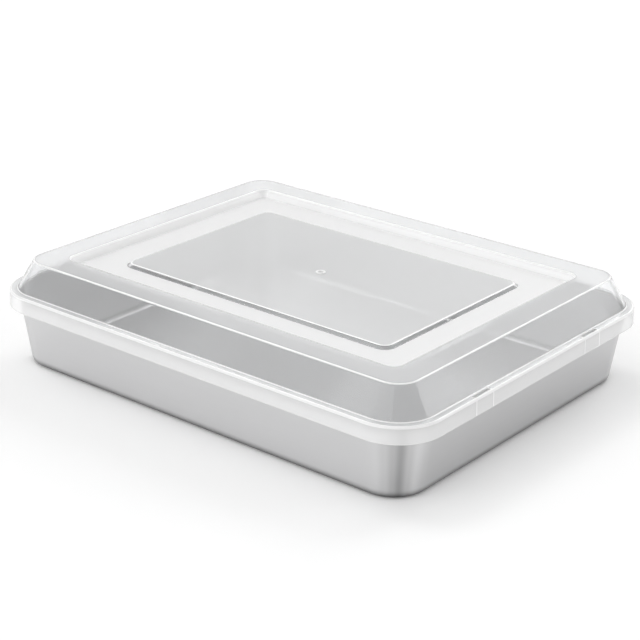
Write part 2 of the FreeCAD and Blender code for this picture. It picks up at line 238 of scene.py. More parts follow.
@dataclass(frozen=True)
class SatinSteel:
    """Stainless sheet with a fine satin grain that runs round the pan, with painted reflections and painted
    shade in its colour.

    Args:
        colour: reflected colour.
        roughness: middle of the roughness range.
        grain_scale: grain lines per metre across the grain.
        grain_stretch: how much longer the grain is than it is wide.
        grain_depth: height of the grain.
        grain_detail: finer layers of the grain.
        grain_roughness: width of the roughness range that the grain gives.
        wear: how much handling changes the roughness.
        painted_corner_reflections: painted reflections, as light and dark bands round the corners: place
            round a corner, from 0 at the short sides to 1 at the long ones, and the painted brightness there.
        painted_level_shade: painted shade that dims the sheet facing up, the pan's floor and the rim's top.
        painted_shade_level_range: upward part of the normal where that painted shade starts, and where it is
            full.
        painted_foot_shade: painted contact shade, darkest where the sheet turns under at the ground.
        painted_foot_shade_height: height at which that painted shade has faded out.
    """

    colour: Colour = (0.66, 0.66, 0.665)
    roughness: float = 0.36
    grain_scale: float = 900.0
    grain_stretch: float = 30.0
    grain_depth: float = 0.01 * MM
    grain_detail: float = 4.0
    grain_roughness: float = 0.1
    wear: float = 0.015
    # Painted reflections: light and dark bands round the corners, where the surroundings would reflect.
    painted_corner_reflections: tuple[tuple[float, float], ...] = (
        (0.0, 0.88), (0.1, 0.9), (0.26, 1.0), (0.38, 0.84), (0.5, 0.56), (0.6, 0.74), (0.72, 0.9),
        (0.86, 1.0), (1.0, 1.0))
    # Painted shade on the sheet that faces up.
    painted_level_shade: float = 0.8
    painted_shade_level_range: tuple[float, float] = (0.4, 0.95)
    # Painted contact shade where the sheet meets the ground.
    painted_foot_shade: float = 0.2
    painted_foot_shade_height: float = 6.0 * MM

    def build(self, name: str, handling: bpy.types.NodeTree) -> bpy.types.Material:
        """Make the material.

        Args:
            name: the material's name.
            handling: the group of handling marks.

        Returns:
            The material.
        """
        material, graph, shader = new_material(name)
        place = graph.add("ShaderNodeTexCoord").outputs["Object"]
        stretch = graph.add("ShaderNodeMapping")
        graph.feed(stretch.inputs["Vector"], place)
        graph.feed(stretch.inputs["Scale"], (1 / self.grain_stretch, 1 / self.grain_stretch, 1.0))
        grain = graph.add("ShaderNodeTexNoise")
        graph.feed(grain.inputs["Vector"], stretch.outputs["Vector"])
        graph.feed(grain.inputs["Scale"], self.grain_scale)
        graph.feed(grain.inputs["Detail"], self.grain_detail)
        marks = graph.place(handling, Vector=place, Amount=self.wear)
        smoothest = self.roughness - self.grain_roughness / 2
        grained = graph.maths("MULTIPLY_ADD", grain.outputs["Fac"], self.grain_roughness, smoothest)
        rough = graph.maths("ADD", grained, marks.outputs["Variation"], clamp=True)
        graph.feed(shader.inputs["Roughness"], rough)
        bump = graph.add("ShaderNodeBump")
        graph.feed(bump.inputs["Height"], grain.outputs["Fac"])
        graph.feed(bump.inputs["Distance"], self.grain_depth)
        graph.feed(shader.inputs["Normal"], bump.outputs["Normal"])
        # The base colour carries painted reflections and painted shade.
        graph.feed(shader.inputs["Base Color"], self.colour_with_painted_light(graph))
        graph.feed(shader.inputs["Metallic"], 1.0)
        return material

    def colour_with_painted_light(self, graph: Graph) -> Socket:
        """The steel's colour, with painted reflections round the corners, painted contact shade along the
        foot and painted shade on the level sheet.

        Args:
            graph: the material's graph.

        Returns:
            The colour's socket.
        """
        # Painted reflections: a brightness ramp by how far the normal has turned round a corner.
        axes = graph.add("ShaderNodeSeparateXYZ")
        graph.feed(axes.inputs["Vector"], graph.add("ShaderNodeTexCoord").outputs["Normal"])
        sides = [graph.maths("ABSOLUTE", axes.outputs[axis]) for axis in ("Y", "X")]
        turned = graph.maths("DIVIDE", graph.maths("ARCTAN2", *sides), math.pi / 2)
        corner_reflection_ramp = graph.add("ShaderNodeValToRGB")
        corner_reflection_ramp.color_ramp.interpolation = "EASE"
        points = corner_reflection_ramp.color_ramp.elements
        while len(points) < len(self.painted_corner_reflections):
            points.new(0.5)
        brightest = max(self.painted_level_shade, *(painted_light for _, painted_light in self.painted_corner_reflections))
        for point, (place, painted_light) in zip(points, self.painted_corner_reflections):
            point.position = place
            point.color = (painted_light / brightest,) * 3 + (1.0,)
        graph.feed(corner_reflection_ramp.inputs["Fac"], turned)
        # foot is painted contact shade that fades out upward from the ground.
        where = graph.add("ShaderNodeSeparateXYZ")
        graph.feed(where.inputs["Vector"], graph.add("ShaderNodeTexCoord").outputs["Object"])
        foot = graph.between(where.outputs["Z"], (0.0, self.painted_foot_shade), (self.painted_foot_shade_height, 1.0))
        # level masks the painted shade on the sheet that faces up.
        level = graph.between(axes.outputs["Z"], (self.painted_shade_level_range[0], 0.0), (self.painted_shade_level_range[1], 1.0))
        # wall and up are the painted brightness of the walls and of the level sheet.
        wall = graph.maths("MULTIPLY", corner_reflection_ramp.outputs["Color"], foot)
        up = graph.maths("MULTIPLY", level, self.painted_level_shade / brightest)
        painted_light = graph.maths("MULTIPLY_ADD", wall, graph.maths("SUBTRACT", 1.0, level), up)
        mix = graph.add("ShaderNodeMix", data_type="RGBA")
        graph.feed(mix.inputs["Factor"], painted_light)
        graph.feed(mix.inputs["A"], (0.0, 0.0, 0.0))
        graph.feed(mix.inputs["B"], tuple(part * brightest for part in self.colour))
        return mix.outputs["Result"]


class Zone(Enum):
    """Parts of the lid's surface that differ in how milky and how smooth they are; one of them is painted
    highlight.
    """

    CLEAR = "clear"
    DOME = "dome"
    # Milky white strips on rounds and round slots and catches: painted highlights where the edges catch
    # light.
    PAINTED_HIGHLIGHT = "edge"
    SKIRT = "skirt"
    FLANGE = "flange"
    PLATEAU = "plateau"
    STEP = "step"
    FROSTED = "frosted"
    PANEL = "panel"


@dataclass(frozen=True)
class ClearPlastic:
    """Clear moulded plastic; a share of it may be milky.

    Args:
        milk: share of the light that scatters at the surface instead of going through.
        roughness: roughness of the face.
        colour: tint of the plastic.
        ior: refraction.
        shadow: how much of the direct light the plastic stops.
        wear: how much handling changes the roughness.
    """

    milk: float = 0.04
    roughness: float = 0.04
    colour: Colour = (0.96, 0.965, 0.97)
    ior: float = 1.49
    shadow: float = 0.2
    wear: float = 0.02

    def build(self, name: str, handling: bpy.types.NodeTree) -> bpy.types.Material:
        """Make the material.

        Args:
            name: the material's name.
            handling: the group of handling marks.

        Returns:
            The material.
        """
        material, graph, shader = new_material(name)
        place = graph.add("ShaderNodeTexCoord").outputs["Object"]
        marks = graph.place(handling, Vector=place, Amount=self.wear)
        rough = graph.maths("ADD", marks.outputs["Variation"], self.roughness, clamp=True)
        graph.feed(shader.inputs["Roughness"], rough)
        stopped = graph.maths("MULTIPLY", graph.any_ray((Ray.SHADOW,)), 1 - self.shadow)
        graph.feed(shader.inputs["Alpha"], graph.maths("SUBTRACT", 1.0, stopped))
        graph.feed(shader.inputs["Base Color"], self.colour)
        graph.feed(shader.inputs["IOR"], self.ior)
        graph.feed(shader.inputs["Transmission Weight"], 1 - self.milk)
        return material


def lid_finishes() -> dict[Zone, ClearPlastic]:
    """The finish of each zone of the lid.

    Returns:
        The finishes by zone.
    """
    return {
        Zone.CLEAR: ClearPlastic(),
        Zone.DOME: ClearPlastic(milk=0.12),
        # Painted highlight: nearly white, so that the lid's edges show as bright lines.
        Zone.PAINTED_HIGHLIGHT: ClearPlastic(milk=0.85, roughness=0.14, colour=(0.99, 0.99, 0.99)),
        Zone.SKIRT: ClearPlastic(milk=0.6, roughness=0.06, colour=(0.98, 0.98, 0.98)),
        Zone.FLANGE: ClearPlastic(milk=0.48, roughness=0.05),
        Zone.PLATEAU: ClearPlastic(milk=0.38, colour=(0.92, 0.925, 0.93)),
        Zone.STEP: ClearPlastic(milk=0.75, roughness=0.1, colour=(0.99, 0.99, 0.99)),
        Zone.FROSTED: ClearPlastic(milk=0.78, roughness=0.38, colour=(0.98, 0.98, 0.98)),
        Zone.PANEL: ClearPlastic(milk=0.5),
    }


class Mark(Enum):
    """Corners of the lid's section that the slots and catches need."""

    SLOT_INSIDE_BELOW = "inner edge of a slot, underside"
    SLOT_OUTSIDE_BELOW = "outer edge of a slot, underside"
    SLOT_OUTSIDE_ABOVE = "outer edge of a slot, upper side"
    SLOT_INSIDE_ABOVE = "inner edge of a slot, upper side"
    CATCH_TOP = "where a catch leaves the skirt"
    CATCH_SLOPE = "top of a catch's face"
    CATCH_LEAD = "bottom of a catch's face"


@dataclass(frozen=True)
class Corner:
    """One corner of a section, which runs with the solid on its left.

    Args:
        offset: how far it lies outside the rim's edge.
        height: how high it lies above the ground.
        centres: how far inside the rim's edge the plan corners have their centres.
        radius: radius that rounds it, or 0.
        mark: what the corner is for, where a later step needs to find it.
        zone: surface from the corner to the next one.
        edge: surface of the round itself, where it differs; the rounds use it for a painted highlight strip.
        highlight_share: share of the round, about its middle, that has that surface.
    """

    offset: float
    height: float
    centres: float
    radius: float = 0.0
    mark: Mark | None = None
    zone: Zone = Zone.CLEAR
    edge: Zone | None = None
    highlight_share: float = 1.0


@dataclass(frozen=True)
class Row:
    """One level line of a swept skin.

    Args:
        offset: how far it lies outside the rim's edge.
        height: how high it lies.
        centres: how far inside the rim's edge the plan corners have their centres.
        before: direction that the skin faces just before the row, outward and up.
        after: direction that the skin faces just after the row, outward and up.
        mark: what the row is for.
        circle: radius, if the row is drawn in to a circle about the middle.
        zone: surface after the row.
    """

    offset: float
    height: float
    centres: float
    before: Vector
    after: Vector
    mark: Mark | None = None
    circle: float = 0.0
    zone: Zone = Zone.CLEAR


@dataclass(frozen=True)
class Column:
    """One place round the plan.

    Args:
        along: side of the middle in X, -1 or 1.
        across: place between the plan corners' centres in Y, from -1 to 1.
        turn: direction that a wall faces there, in radians.
        bearing: direction from the middle, in radians, where a row is drawn in to a circle.
    """

    along: float
    across: float
    turn: float
    bearing: float = 0.0


def facing(start: Corner | Row, end: Corner | Row) -> Vector:
    """Direction that the skin between two corners of a section faces, outward and up."""
    return Vector((end.height - start.height, start.offset - end.offset)).normalized()


def zone_of_round(corner: Corner, previous: Corner, share: float) -> Zone:
    """Surface of one strip of a round, whose middle strips may be a zone of their own, such as a painted
    highlight.

    Args:
        corner: the rounded corner.
        previous: the corner before it.
        share: how far round the strip lies, from 0 to 1.

    Returns:
        The strip's surface.
    """
    if corner.edge is None:
        return corner.zone
    if abs(share - 0.5) < corner.highlight_share / 2:
        return corner.edge
    return previous.zone if share < 0.5 else corner.zone


def rounded(corners: list[Corner]) -> list[Row]:
    """Round a section's corners.

    Args:
        corners: the corners, in order.

    Returns:
        The rows of the rounded section.
    """
    rows = []
    for index, corner in enumerate(corners):
        before = facing(corners[max(index - 1, 0)], corners[max(index, 1)])
        after = facing(*(corners[index:index + 2] if index + 1 < len(corners) else corners[index - 1:]))
        if not corner.radius:
            rows.append(Row(
                corner.offset, corner.height, corner.centres, before, after, corner.mark, zone=corner.zone))
            continue
        turn = before.angle_signed(after)
        outer = turn < 0
        reach = corner.radius * math.tan(abs(turn) / 2)
        start = Vector((corner.offset, corner.height)) - Vector((-before.y, before.x)) * reach
        middle = start - before * corner.radius * (1 if outer else -1)
        count = max(2, math.ceil(abs(turn) / ROUND_STEP))
        for part in range(count + 1):
            angle = math.atan2(before.y, before.x) - turn * part / count
            face = Vector((math.cos(angle), math.sin(angle)))
            place = middle + face * corner.radius * (1 if outer else -1)
            last = part == count
            zone = corner.zone if last else zone_of_round(corner, corners[index - 1], (part + 0.5) / count)
            rows.append(Row(
                place.x, place.y, corner.centres, face, face, corner.mark if last else None, zone=zone))
    return rows


class Skin:
    """Gathers points, and faces with the direction that each of their corners faces."""

    def __init__(self) -> None:
        """Start with nothing."""
        self.points: list[Vector] = []
        self.faces: list[list[int]] = []
        self.normals: list[list[Vector]] = []
        self.zones: list[Zone] = []

    def point(self, place: Vector) -> int:
        """Add a point and return its number."""
        self.points.append(place)
        return len(self.points) - 1

    def face(self, corners: list[int], normals: list[Vector], zone: Zone) -> None:
        """Add a face, wound so that it faces the way its normals do.

        Args:
            corners: its points' numbers, in order round it.
            normals: direction that it faces at each corner.
            zone: its surface.
        """
        places = [self.points[corner] for corner in corners]
        turned = sum((a.cross(b) for a, b in zip(places, places[1:] + places[:1])), Vector())
        if turned.dot(sum(normals, Vector())) < 0:
            corners, normals = corners[::-1], normals[::-1]
        self.faces.append(corners)
        self.normals.append(normals)
        self.zones.append(zone)

    def make(self, name: str) -> bpy.types.Object:
        """Make the object.

        Args:
            name: the object's name.

        Returns:
            The object, in the scene.
        """
        mesh = bpy.data.meshes.new(name)
        mesh.from_pydata(self.points, [], self.faces)
        mesh.shade_smooth()
        mesh.normals_split_custom_set([normal for normals in self.normals for normal in normals])
        made = bpy.data.objects.new(name, mesh)
        bpy.context.collection.objects.link(made)
        return made


@dataclass
class Plan:
    """The rounded rectangle that every section is swept round.

    Args:
        half_length: half the length over the rim's edge.
        half_width: half the width over the rim's edge.
        stations: shares of the short sides, from their middle, where extra columns stand.
        corner_steps: steps round a quarter turn.
    """

    half_length: float = 157.4 * MM
    half_width: float = 123.4 * MM
    stations: tuple[float, ...] = ()
    corner_steps: int = 28

    def columns(self) -> list[Column]:
        """The places round the plan, anticlockwise from the middle of the +X side.

        Returns:
            The columns.
        """
        places = []
        quarter = math.pi / 2
        for turn, (along, across) in enumerate(((1, 1), (-1, 1), (-1, -1), (1, -1))):
            if turn in (0, 2):
                places += [Column(along, across * share, turn * quarter) for share in self.stations]
            for step in range(self.corner_steps + 1):
                places.append(Column(along, across, (turn + step / self.corner_steps) * quarter))
        first = (len(self.stations) - 1) / 2
        return [replace(place, bearing=(index - first) / len(places) * math.tau)
                for index, place in enumerate(places)]

    def station_columns(self) -> list[int]:
        """Number of the second column of each four stations, where a slot and its catch start."""
        return [index for index, column in enumerate(self.columns()) if abs(column.across) < 1][1::4]

    def place(self, row: Row, column: Column) -> Vector:
        """Where a row crosses a column.

        Args:
            row: the row.
            column: the column.

        Returns:
            The point.
        """
        if row.circle:
            turned = Vector((math.cos(column.bearing), math.sin(column.bearing)))
            return Vector((*turned * row.circle, row.height))
        outward = Vector((math.cos(column.turn), math.sin(column.turn)))
        centre = Vector((
            column.along * (self.half_length - row.centres), column.across * (self.half_width - row.centres)))
        return Vector((*(centre + outward * (row.centres + row.offset)), row.height))

    def upright(self, way: Vector, row: Row, column: Column) -> Vector:
        """Turn a direction given as outward and up into space.

        Args:
            way: the direction.
            row: the row where it applies.
            column: the column where it applies.

        Returns:
            The direction in space.
        """
        direction = column.bearing if row.circle else column.turn
        return Vector((math.cos(direction) * way.x, math.sin(direction) * way.x, way.y))


@dataclass
class Sweep:
    """A section swept round a plan, closed by a flat face at its start and at its end.

    Args:
        plan: the plan.
        rows: the section's rows.
        skin: gathers the result.
    """

    plan: Plan
    rows: list[Row]
    skin: Skin = field(default_factory=Skin)

    def __post_init__(self) -> None:
        """Set out the points."""
        self.columns = self.plan.columns()
        self.grid = [
            [self.skin.point(self.plan.place(row, column)) for column in self.columns] for row in self.rows]

    def row_of(self, mark: Mark) -> int:
        """Number of the marked row."""
        return next(index for index, row in enumerate(self.rows) if row.mark is mark)

    def patch(self, column: int, ends: tuple[tuple[Row, list[int], Vector], ...], zone: Zone) -> None:
        """Add the face between two rows, from one column to the next.

        Args:
            column: number of the first column.
            ends: for both rows, the row, its two points there and the direction that the skin faces there.
            zone: the face's surface.
        """
        corners, normals = [], []
        for (row, points, way), order in zip(ends, (1, -1)):
            for point, place in list(zip(points, (column, (column + 1) % len(self.columns))))[::order]:
                corners.append(point)
                normals.append(self.plan.upright(way, row, self.columns[place]))
        self.skin.face(corners, normals, zone)

    def pair(self, row: int, column: int) -> list[int]:
        """The two points of a row at a column and the next one."""
        return [self.grid[row][column], self.grid[row][(column + 1) % len(self.columns)]]

    def end_wall(self, column: int, loop: list[list[int]], into: bool) -> None:
        """Close both ends of a slot or catch on a straight side.

        Args:
            column: number of its first column.
            loop: the two points at each corner of its outline.
            into: whether the walls face into it, as a slot's do.
        """
        turn = self.columns[column].turn
        onward = Vector((-math.sin(turn), math.cos(turn), 0.0)) * (1 if into else -1)
        for end, way in ((0, onward), (1, -onward)):
            # The end walls of slots and catches are painted highlight.
            self.skin.face([points[end] for points in loop], [way] * len(loop), Zone.PAINTED_HIGHLIGHT)

    def cover(self, left_out: set[tuple[int, int]], painted_lines: set[tuple[int, int]]) -> None:
        """Add every face of the sweep and its two ends.

        Args:
            left_out: row and column of each face that isn't wanted.
            painted_lines: row and column of each face that shows as a bright edge, a painted highlight line.
        """
        for index, (row, following) in enumerate(zip(self.rows, self.rows[1:])):
            for column in range(len(self.columns)):
                if (index, column) not in left_out:
                    self.patch(column, (
                        (row, self.pair(index, column), row.after),
                        (following, self.pair(index + 1, column), following.before)),
                        Zone.PAINTED_HIGHLIGHT if (index, column) in painted_lines else row.zone)
        for loop, way, zone in ((self.grid[0], -1, Zone.CLEAR), (self.grid[-1], 1, self.rows[-1].zone)):
            self.skin.face(list(loop), [Vector((0, 0, way))] * len(loop), zone)


def dress(obj: bpy.types.Object, material: bpy.types.Material) -> None:
    """Give every face of an object one material."""
    obj.data.materials.clear()
    obj.data.materials.append(material)


def dress_by_zone(
    obj: bpy.types.Object, zones: list[Zone], materials: dict[Zone, bpy.types.Material],
) -> None:
    """Give each face of an object the material of its zone.

    Args:
        obj: the object.
        zones: the zone of each face.
        materials: material by zone.
    """
    for material in materials.values():
        obj.data.materials.append(material)
    numbers = {zone: number for number, zone in enumerate(materials)}
    obj.data.polygons.foreach_set("material_index", [numbers[zone] for zone in zones])


@dataclass
class Pan:
    """The drawn steel pan, with its wall bent out at the top and rolled under along the rim's edge.

    Args:
        height: ground to the top of the rim.
        gauge: sheet thickness.
        draft: lean of the walls.
        centres: plan radius of the rim's edge.
        base_fillet: outer radius from the walls to the base.
        reach: wall's outer face, carried up to rim height, to the rim's edge.
        bend: radius of the bend from the wall to the rim, on the food side.
        under_bend: radius of the bend from the wall to the rim, outside.
        roll: outer radius of the roll.
        roll_steps: steps round the roll.
        finish: the steel.
    """

    height: float = 47.1 * MM
    gauge: float = 0.7 * MM
    draft: float = 8.5
    centres: float = 30.2 * MM
    base_fillet: float = 4.0 * MM
    reach: float = 1.85 * MM
    bend: float = 1.1 * MM
    under_bend: float = 0.4 * MM
    roll: float = 1.1 * MM
    roll_steps: int = 20
    finish: SatinSteel = field(default_factory=SatinSteel)

    def wall(self, height: float, radius: float, depth: float = 0.0) -> Corner:
        """A corner of the section on the wall.

        Args:
            height: its height.
            radius: radius that rounds it.
            depth: how far it lies inside the wall's outer face.

        Returns:
            The corner.
        """
        lean = math.tan(math.radians(self.draft))
        return Corner(-self.reach - (self.height - height) * lean - depth, height, self.centres, radius)

    def section(self) -> list[Row]:
        """The pan's section, from the underside out, round the rim and in to the floor.

        Returns:
            The section's rows.
        """
        sheet = self.gauge / math.cos(math.radians(self.draft))
        under = self.height - self.gauge
        middle = self.height - self.roll
        tucked = math.pi - math.asin((under - middle) / self.roll)
        floor_fillet = self.base_fillet - self.gauge
        foot = self.wall(0.0, self.base_fillet)
        floor_edge = self.wall(self.gauge, floor_fillet, sheet)
        outside = rounded([
            Corner(foot.offset - 2 * self.base_fillet, 0.0, self.centres),
            foot,
            self.wall(under, self.under_bend),
            Corner(-self.roll + self.roll * math.cos(tucked), under, self.centres),
        ])
        roll = []
        for step in range(self.roll_steps + 1):
            angle = tucked + (2.5 * math.pi - tucked) * step / self.roll_steps
            way = Vector((math.cos(angle), math.sin(angle)))
            before = way if step else outside[-1].before
            roll.append(Row(
                -self.roll + self.roll * way.x, middle + self.roll * way.y, self.centres, before, way))
        inside = rounded([
            Corner(-self.roll, self.height, self.centres),
            self.wall(self.height, self.bend, sheet),
            floor_edge,
            Corner(floor_edge.offset - 2 * self.base_fillet, self.gauge, self.centres),
        ])
        return outside[:-1] + roll + inside[1:]

    def build(self, handling: bpy.types.NodeTree) -> bpy.types.Object:
        """Sweep the pan and dress it.

        Args:
            handling: the group of handling marks.

        Returns:
            The pan.
        """
        sweep = Sweep(Plan(), self.section())
        sweep.cover(set(), set())
        pan = sweep.skin.make("steel_pan")
        dress(pan, self.finish.build("Satin steel", handling))
        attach(pan, "pan")
        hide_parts("pan")
        return pan


@dataclass
class Lid:
    """The clear lid: a skirt, a flange, a leaning dome, and a recess with a raised centre panel.

    Args:
        seat: height of the face that rests on the pan's rim.
        wall: moulded wall thickness.
        clearance: rim's edge to the skirt's inner face, at the seat.
        centres: how far inside the rim's edge the lid's plan corners have their centres.
        skirt_drop: skirt below the seat.
        skirt_draft: lean of the skirt.
        skirt_round: radius of the skirt's lower edges.
        flange_width: skirt's lower edge to the foot of the dome.
        flange_round: radius of the flange's outer edge.
        dome_rise: flange to plateau.
        dome_draft: lean of the dome's wall.
        dome_foot_fillet: radius from the flange to the dome.
        dome_rim_round: radius from the dome to the plateau.
        plateau_width: dome's top edge to the recess.
        recess_depth: plateau to the recess floor.
        recess_draft: lean of the recess wall.
        recess_corner: plan radius of the recess at its top edge.
        recess_round: radius of the recess's top edge, on both faces.
        recess_fillet: radius from the recess wall to its floor.
        floor_ring_width: foot of the recess wall to the foot of the panel.
        panel_rise: recess floor to the centre panel.
        panel_draft: lean of the panel's wall.
        panel_corner: plan radius of the panel at its foot.
        panel_round: radius of the panel's foot and of the edges below it.
        panel_edge_round: radius of the panel's upper edge.
        gate_outside: outer radius of the gate ring.
        gate_inside: inner radius of the gate ring.
        gate_height: height of the gate ring.
        catch_spacing: between the middles of the two catches on one side.
        catch_width: catch and slot along the side.
        catch_highlight_width: width of the painted highlight line beside each slot and catch.
        catch_height: skirt's lower edge to the top of a catch.
        catch_clearance: rim's edge to the face of a catch.
        catch_slope: height of the slope above a catch's face.
        slot_margin: flange left between the foot of the dome and a slot.
        finishes: the plastic by zone.
    """

    seat: float = 47.1 * MM
    wall: float = 1.5 * MM
    clearance: float = 0.7 * MM
    centres: float = 27.1 * MM
    skirt_drop: float = 8.9 * MM
    skirt_draft: float = 2.3
    skirt_round: float = 0.5 * MM
    flange_width: float = 5.4 * MM
    flange_round: float = 1.6 * MM
    dome_rise: float = 17.8 * MM
    dome_draft: float = 30.3
    dome_foot_fillet: float = 1.5 * MM
    dome_rim_round: float = 2.2 * MM
    plateau_width: float = 18.2 * MM
    recess_depth: float = 5.5 * MM
    recess_draft: float = 26.0
    recess_corner: float = 6.5 * MM
    recess_round: float = 1.5 * MM
    recess_fillet: float = 0.7 * MM
    floor_ring_width: float = 21.1 * MM
    panel_rise: float = 1.8 * MM
    panel_draft: float = 53.7
    panel_corner: float = 8.0 * MM
    panel_round: float = 0.5 * MM
    panel_edge_round: float = 1.8 * MM
    gate_outside: float = 3.1 * MM
    gate_inside: float = 1.8 * MM
    gate_height: float = 0.4 * MM
    catch_spacing: float = 111.0 * MM
    catch_width: float = 15.5 * MM
    catch_highlight_width: float = 0.6 * MM
    catch_height: float = 4.2 * MM
    catch_clearance: float = 0.3 * MM
    catch_slope: float = 0.5 * MM
    slot_margin: float = 0.9 * MM
    finishes: dict[Zone, ClearPlastic] = field(default_factory=lid_finishes)

    def __post_init__(self) -> None:
        """Work out the heights and offsets that the section's corners share."""
        self.bottom = self.seat - self.skirt_drop
        self.flange = self.seat + self.wall
        self.plateau = self.flange + self.dome_rise
        self.floor = self.plateau - self.recess_depth
        self.dome_foot = self.skirt(self.bottom, outside=True) - self.flange_width
        self.dome_top = self.dome_foot - self.leaning(self.dome_rise, self.dome_draft)
        self.recess_top = self.dome_top - self.plateau_width
        self.recess_foot = self.recess_top - self.leaning(self.recess_depth, self.recess_draft)
        self.panel_foot = self.recess_foot - self.floor_ring_width
        self.panel_top = self.panel_foot - self.leaning(self.panel_rise, self.panel_draft)
        self.slot_inside = self.dome_foot + self.slot_margin

    @staticmethod
    def leaning(height: float, draft: float) -> float:
        """How far a leaning wall runs sideways over a height."""
        return height * math.tan(math.radians(draft))

    def thick(self, draft: float) -> float:
        """Sideways shift from a leaning wall's face, at its top, to its back, one wall thickness lower."""
        return self.wall / math.cos(math.radians(draft)) - self.leaning(self.wall, draft)

    def skirt(self, height: float, outside: bool) -> float:
        """Offset of the skirt's inner or outer face at a height."""
        inner = self.clearance + self.leaning(self.seat - height, self.skirt_draft)
        return inner + (self.wall / math.cos(math.radians(self.skirt_draft)) if outside else 0.0)

    def underside(self) -> list[Corner]:
        """Corners of the section from under the middle out and down to the skirt's lower edge.

        Returns:
            The corners.
        """
        recess = self.recess_corner - self.recess_top
        panel = self.panel_corner - self.panel_foot
        below = self.wall
        hollow = self.thick(self.panel_draft)
        tray = self.thick(self.recess_draft)
        dome = self.thick(self.dome_draft)
        inner_round = self.dome_rim_round - self.wall
        catch = self.bottom + self.catch_height
        corners = [
            Corner(self.panel_top - hollow - 2 * self.wall, self.floor + self.panel_rise - below, panel),
            Corner(self.panel_top - hollow, self.floor + self.panel_rise - below, panel, self.panel_round),
            Corner(self.panel_foot - hollow, self.floor - below, panel, self.panel_round),
            Corner(self.recess_foot + tray, self.floor - below, recess, self.wall + self.recess_fillet),
            Corner(self.recess_top + tray, self.plateau - below, recess, self.recess_round, edge=Zone.PAINTED_HIGHLIGHT),
            Corner(self.dome_top - dome, self.plateau - below, self.centres, inner_round),
            Corner(self.dome_foot - dome, self.seat, self.centres, self.dome_foot_fillet),
            Corner(self.slot_inside, self.seat, self.centres, mark=Mark.SLOT_INSIDE_BELOW),
            Corner(self.clearance, self.seat, self.centres, mark=Mark.SLOT_OUTSIDE_BELOW),
        ]
        lead = self.bottom + 2 * self.skirt_round
        marked = {Mark.CATCH_TOP: catch, Mark.CATCH_SLOPE: catch - self.catch_slope, Mark.CATCH_LEAD: lead}
        for mark, height in marked.items():
            corners.append(Corner(self.skirt(height, outside=False), height, self.centres, mark=mark))
        return corners

    def upper_side(self) -> list[Corner]:
        """Corners of the section from the skirt's lower edge up and in to the centre panel.

        Returns:
            The corners.
        """
        recess = self.recess_corner - self.recess_top
        panel = self.panel_corner - self.panel_foot
        top = self.floor + self.panel_rise
        return [
            Corner(self.skirt(self.bottom, outside=False), self.bottom, self.centres, self.skirt_round,
                   zone=Zone.FLANGE),
            Corner(self.skirt(self.bottom, outside=True), self.bottom, self.centres, self.skirt_round,
                   zone=Zone.SKIRT, edge=Zone.PAINTED_HIGHLIGHT),
            Corner(self.skirt(self.flange, outside=True), self.flange, self.centres, self.flange_round,
                   Mark.SLOT_OUTSIDE_ABOVE, zone=Zone.FLANGE, edge=Zone.PAINTED_HIGHLIGHT, highlight_share=0.8),
            Corner(self.slot_inside, self.flange, self.centres, mark=Mark.SLOT_INSIDE_ABOVE,
                   zone=Zone.FLANGE),
            Corner(self.dome_foot, self.flange, self.centres, self.dome_foot_fillet,
                   zone=Zone.DOME, edge=Zone.PAINTED_HIGHLIGHT, highlight_share=0.4),
            Corner(self.dome_top, self.plateau, self.centres, self.dome_rim_round,
                   zone=Zone.PLATEAU, edge=Zone.PAINTED_HIGHLIGHT, highlight_share=0.6),
            Corner(self.recess_top, self.plateau, recess, self.recess_round, zone=Zone.STEP, edge=Zone.PAINTED_HIGHLIGHT),
            Corner(self.recess_foot, self.floor, recess, self.recess_fillet, zone=Zone.FROSTED),
            Corner(self.panel_foot, self.floor, panel, self.panel_round),
            Corner(self.panel_top, top, panel, self.panel_edge_round, zone=Zone.PANEL, edge=Zone.PAINTED_HIGHLIGHT),
            Corner(self.panel_top - self.panel_edge_round, top, panel, zone=Zone.PANEL),
        ]

    def gate_ring(self, edge: Row) -> list[Row]:
        """Rows of the small round gate mark in the middle of the panel.

        Args:
            edge: the last row of the panel.

        Returns:
            The rows, from the outer foot of the ring to its inner one.
        """
        up, out, inward = Vector((0.0, 1.0)), Vector((1.0, 0.0)), Vector((-1.0, 0.0))
        high = edge.height + self.gate_height
        outline = [
            (self.gate_outside, edge.height, up, out), (self.gate_outside, high, out, up),
            (self.gate_inside, high, up, inward), (self.gate_inside, edge.height, inward, up)]
        # The gate ring's outline is painted highlight.
        zones = (Zone.PAINTED_HIGHLIGHT, Zone.PAINTED_HIGHLIGHT, Zone.PAINTED_HIGHLIGHT, Zone.PANEL)
        return [Row(edge.offset, height, edge.centres, before, after, circle=radius, zone=zone)
                for (radius, height, before, after), zone in zip(outline, zones)]

    def open_slot(self, sweep: Sweep, column: int) -> set[tuple[int, int]]:
        """Line one slot through the flange.

        Args:
            sweep: the lid's sweep.
            column: number of the slot's first column.

        Returns:
            Row and column of the faces that the slot takes away.
        """
        inside_below, outside_below, outside_above, inside_above = (sweep.row_of(mark) for mark in (
            Mark.SLOT_INSIDE_BELOW, Mark.SLOT_OUTSIDE_BELOW, Mark.SLOT_OUTSIDE_ABOVE, Mark.SLOT_INSIDE_ABOVE))
        for first, second, way in ((inside_below, inside_above, 1.0), (outside_above, outside_below, -1.0)):
            ends = tuple(
                (sweep.rows[row], sweep.pair(row, column), Vector((way, 0.0))) for row in (first, second))
            sweep.patch(column, ends, Zone.PAINTED_HIGHLIGHT)
        loop = (inside_below, outside_below, outside_above, inside_above)
        sweep.end_wall(column, [sweep.pair(row, column) for row in loop], into=True)
        return {(inside_below, column), (outside_above, column)}

